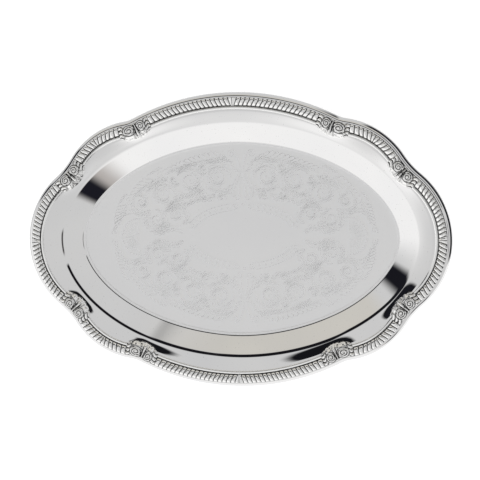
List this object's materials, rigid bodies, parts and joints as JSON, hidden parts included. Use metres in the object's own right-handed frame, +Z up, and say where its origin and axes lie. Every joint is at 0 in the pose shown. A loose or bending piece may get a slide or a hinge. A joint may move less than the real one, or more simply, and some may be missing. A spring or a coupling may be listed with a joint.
{
  "type": "serving tray",
  "caption": "Oval plated serving tray with a lobed rim, gadroon border, scroll-and-shell mounts and a satin floor.",
  "frame": {"origin": "on the table under the middle of the floor", "axes": "+X along the tray's length, +Y towards its back long side, +Z up out of the well"},
  "size_m": [0.47, 0.323, 0.0269],
  "materials": {
    "pan_plate": "bright plated, with a satin engraved floor",
    "border_plate": "bright plated cast border, darker in its hollows",
    "mount_plate": "bright plated casting, darker in its hollows",
    "core_wire": "drawn wire"
  },
  "bodies": {
    "root": {"tray_pan": "pan_plate", "rim_wire": "core_wire", "gadroon_end_right": "border_plate", "gadroon_end_left": "border_plate", "gadroon_long_back": "border_plate", "gadroon_long_front": "border_plate", "gadroon_corner_back_right": "border_plate", "gadroon_corner_back_left": "border_plate", "gadroon_corner_front_right": "border_plate", "gadroon_corner_front_left": "border_plate", "shell_end_back_right": "mount_plate", "shell_end_back_left": "mount_plate", "shell_end_front_right": "mount_plate", "shell_end_front_left": "mount_plate", "shell_side_back_right": "mount_plate", "shell_side_back_left": "mount_plate", "shell_side_front_right": "mount_plate", "shell_side_front_left": "mount_plate"}
  },
  "joints": []
}
